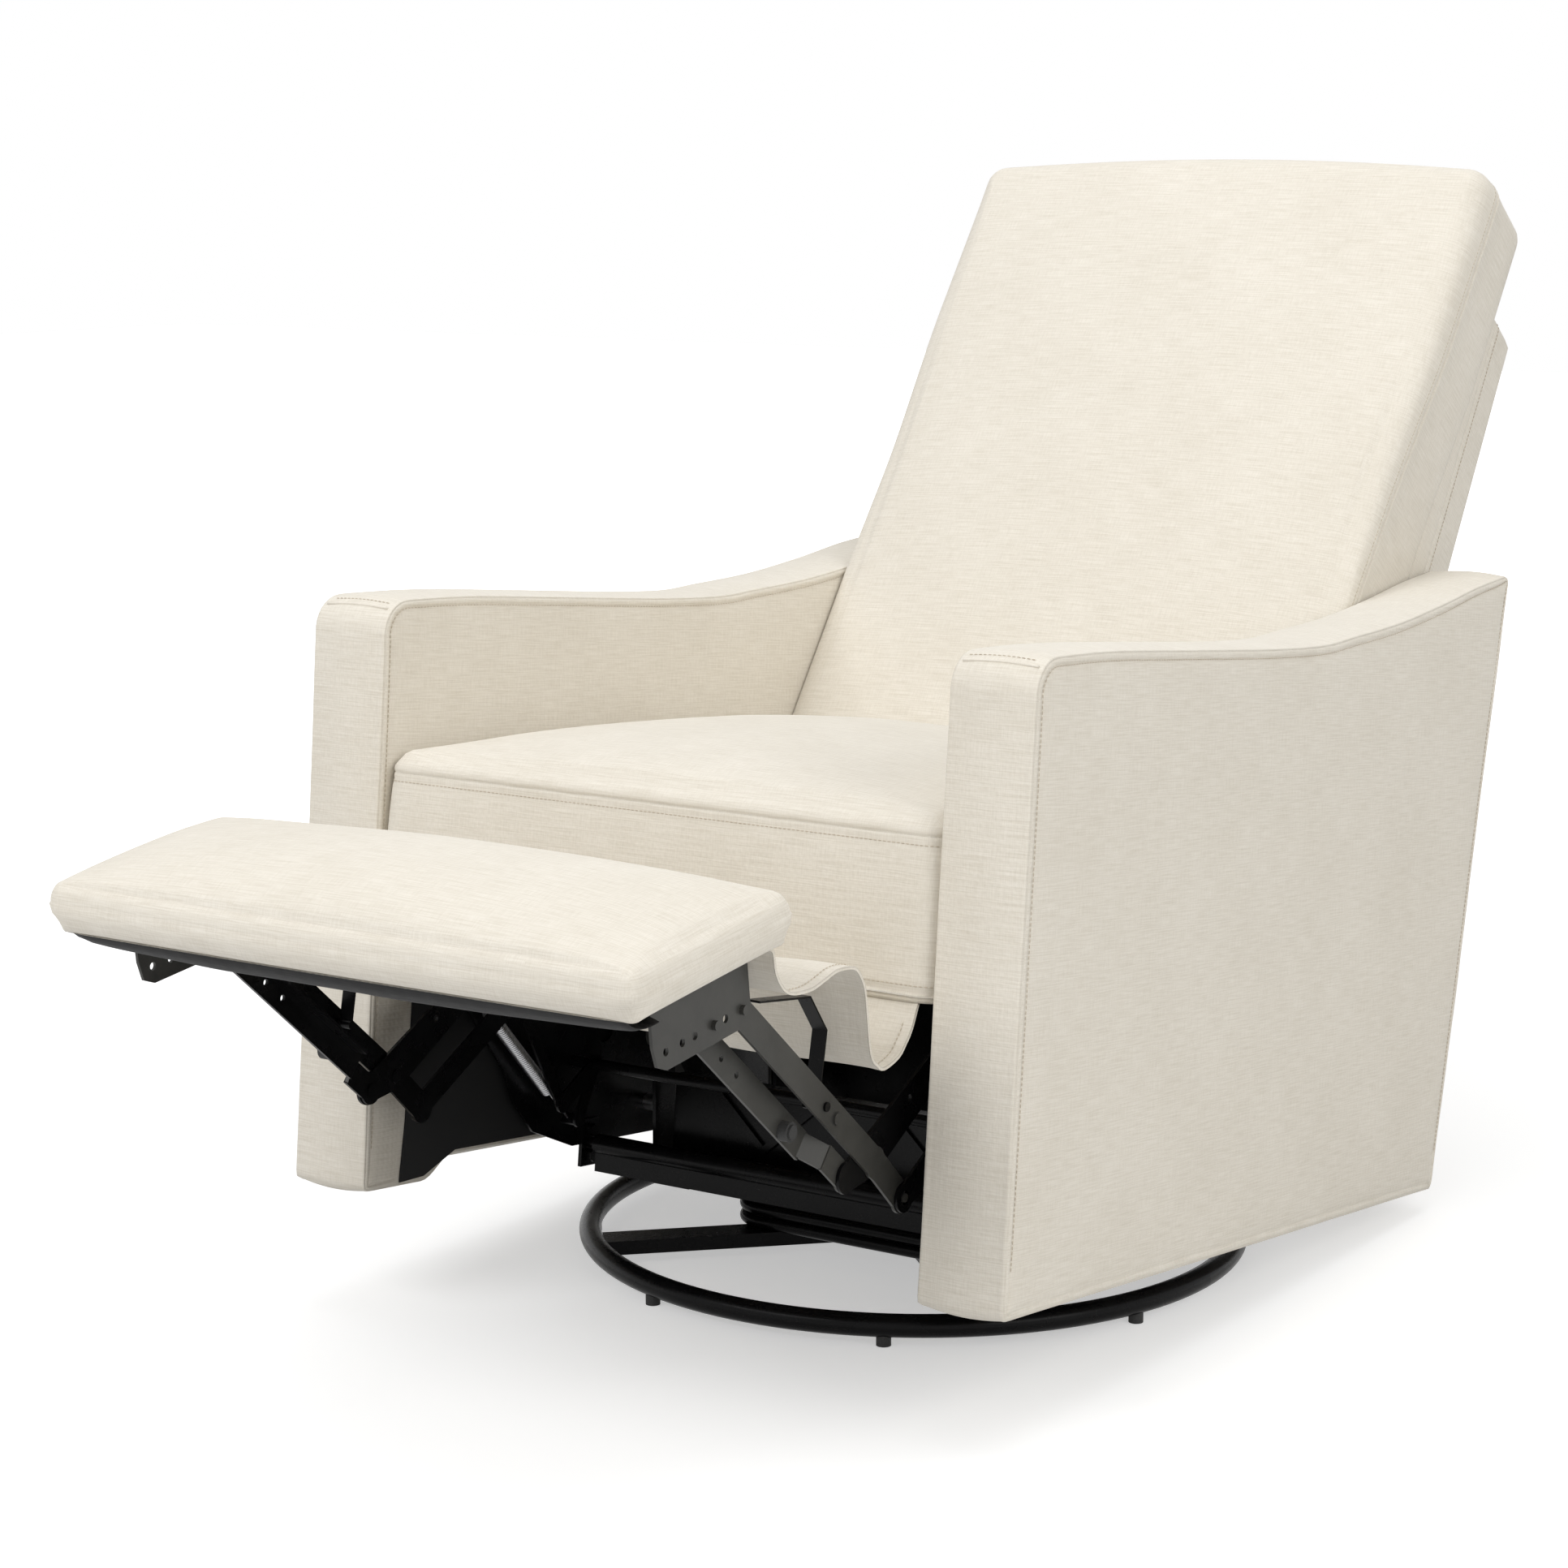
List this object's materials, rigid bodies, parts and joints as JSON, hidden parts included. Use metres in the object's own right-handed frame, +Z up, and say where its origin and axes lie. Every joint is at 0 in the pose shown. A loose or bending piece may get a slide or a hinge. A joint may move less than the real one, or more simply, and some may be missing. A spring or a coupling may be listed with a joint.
{
  "type": "swivel recliner",
  "caption": "Upholstered armchair that swivels, glides and reclines, with a scissor-link footrest shown extended, on a round tube base.",
  "frame": {"origin": "On the floor at the centre of the base ring.", "axes": "+Z is up, -Y is the way the sitter faces, +X is the side of the sitter's left arm."},
  "size_m": [0.786, 1.6312, 1.0526],
  "materials": {
    "black_paint": "semi-gloss black paint",
    "grey_paint": "satin dark grey paint",
    "zinc": "bright zinc plate",
    "fabric": "woven cream upholstery cloth",
    "wood": "raw plywood and pine",
    "cambric": "thin black dust cloth",
    "rubber": "matte black rubber"
  },
  "bodies": {
    "base": {"base_ring": "black_paint", "base_crossbars": "black_paint", "base_feet": "rubber", "swivel_lower_plate": "black_paint", "swivel_balls": "zinc", "ball_cage": "zinc", "king_bolt": "zinc"},
    "turntable": {"swivel_upper_plate": "black_paint", "turntable_bars": "black_paint", "glide_post_left": "black_paint", "glide_post_right": "black_paint", "glide_upper_pins": "zinc"},
    "front_swing_links": {"front_swing_link_left": "grey_paint", "front_swing_link_right": "grey_paint"},
    "rear_swing_links": {"rear_swing_link_left": "grey_paint", "rear_swing_link_right": "grey_paint"},
    "back": {"back_frame": "wood", "back_shell": "fabric", "back_cushion": "fabric", "back_brackets": "black_paint"},
    "upper_links": {"upper_link_left": "black_paint", "upper_link_right": "black_paint"},
    "rear_ottoman_links": {"rear_ottoman_link_left": "grey_paint", "rear_ottoman_link_right": "black_paint", "flap_straps": "black_paint"},
    "front_ottoman_links": {"front_ottoman_link_left": "grey_paint", "front_ottoman_link_right": "black_paint", "link_bumpers": "rubber"},
    "lower_links": {"lower_link_left": "black_paint", "lower_link_right": "black_paint"},
    "drive_tube": {"drive_tube": "black_paint"},
    "drive_links": {"drive_links": "black_paint"},
    "footrest": {"footrest_bracket_left": "grey_paint", "footrest_bracket_right": "grey_paint", "footrest_board": "wood", "footrest_pad": "fabric", "footrest_cambric": "cambric"},
    "chair_frame": {"glide_lower_pins": "zinc", "side_plate_left": "black_paint", "side_plate_right": "black_paint", "front_cross_rail": "black_paint", "rear_cross_rail": "black_paint", "rail_bolts": "black_paint", "arm_bolts": "zinc", "stamped_panel": "black_paint", "linkage_pins": "zinc", "seat_frame": "wood", "seat_springs": "zinc", "seat_cushion": "fabric", "seat_border": "fabric", "arm_left": "fabric", "arm_right": "fabric", "arm_board_left": "wood", "arm_board_right": "wood", "arm_inner_panels": "cambric", "back_hinge_pins": "zinc", "footrest_flap": "fabric", "assist_spring_left": "zinc", "assist_spring_right": "zinc"}
  },
  "joints": [
    {"name": "swivel", "type": "hinge", "parent": "base", "child": "turntable", "pos_m": [0, 0, 0.04], "axis": [0, 0, 1], "continuous": true},
    {"name": "glide", "type": "hinge", "parent": "turntable", "child": "front_swing_links", "pos_m": [0, -0.1085, 0.205], "axis": [1, 0, 0], "range_deg": [-18, 0]},
    {"name": "glide_carriage", "type": "hinge", "parent": "front_swing_links", "child": "chair_frame", "pos_m": [0, -0.04859, 0.11275], "axis": [1, 0, 0], "range_deg": [-1, 26]},
    {"name": "glide_rear", "type": "hinge", "parent": "turntable", "child": "rear_swing_links", "pos_m": [0, 0.1085, 0.205], "axis": [1, 0, 0], "range_deg": [-18, 1]},
    {"name": "recline", "type": "hinge", "parent": "chair_frame", "child": "back", "pos_m": [0, 0.25623, 0.3687], "axis": [1, 0, 0], "range_deg": [-8, 14]},
    {"name": "footrest_fold", "type": "hinge", "parent": "chair_frame", "child": "upper_links", "pos_m": [0, -0.28425, 0.35278], "axis": [1, 0, 0], "range_deg": [0, 78], "deforming": ["footrest_flap"]},
    {"name": "rear_link_fold", "type": "hinge", "parent": "upper_links", "child": "rear_ottoman_links", "pos_m": [0, -0.48966, 0.23938], "axis": [1, 0, 0], "range_deg": [-84.46, 1]},
    {"name": "front_link_fold", "type": "hinge", "parent": "upper_links", "child": "front_ottoman_links", "pos_m": [0, -0.52837, 0.23466], "axis": [1, 0, 0], "range_deg": [-84.46, 1]},
    {"name": "footrest_tilt", "type": "hinge", "parent": "rear_ottoman_links", "child": "footrest", "pos_m": [0, -0.69368, 0.41301], "axis": [1, 0, 0], "range_deg": [-1, 84.46]},
    {"name": "lower_link_fold", "type": "hinge", "parent": "chair_frame", "child": "lower_links", "pos_m": [0, -0.24237, 0.30686], "axis": [1, 0, 0], "range_deg": [-1, 79.78]},
    {"name": "drive_turn", "type": "hinge", "parent": "chair_frame", "child": "drive_tube", "pos_m": [0, -0.17305, 0.18203], "axis": [1, 0, 0], "range_deg": [-1, 79.78], "deforming": ["assist_spring_left", "assist_spring_right"]},
    {"name": "drive_link_turn", "type": "hinge", "parent": "drive_tube", "child": "drive_links", "pos_m": [0, -0.22618, 0.15415], "axis": [1, 0, 0], "range_deg": [-79.78, 1]}
  ],
  "couplings": [
    {"joint": "glide_carriage", "follows": "glide", "ratio": -1.351},
    {"joint": "glide_rear", "follows": "glide", "ratio": 0.899},
    {"joint": "rear_link_fold", "follows": "footrest_fold", "ratio": -1.07},
    {"joint": "front_link_fold", "follows": "footrest_fold", "ratio": -1.07},
    {"joint": "footrest_tilt", "follows": "footrest_fold", "ratio": 1.07},
    {"joint": "lower_link_fold", "follows": "footrest_fold", "ratio": 1.01},
    {"joint": "drive_turn", "follows": "footrest_fold", "ratio": 1.01},
    {"joint": "drive_link_turn", "follows": "footrest_fold", "ratio": -1.01}
  ]
}
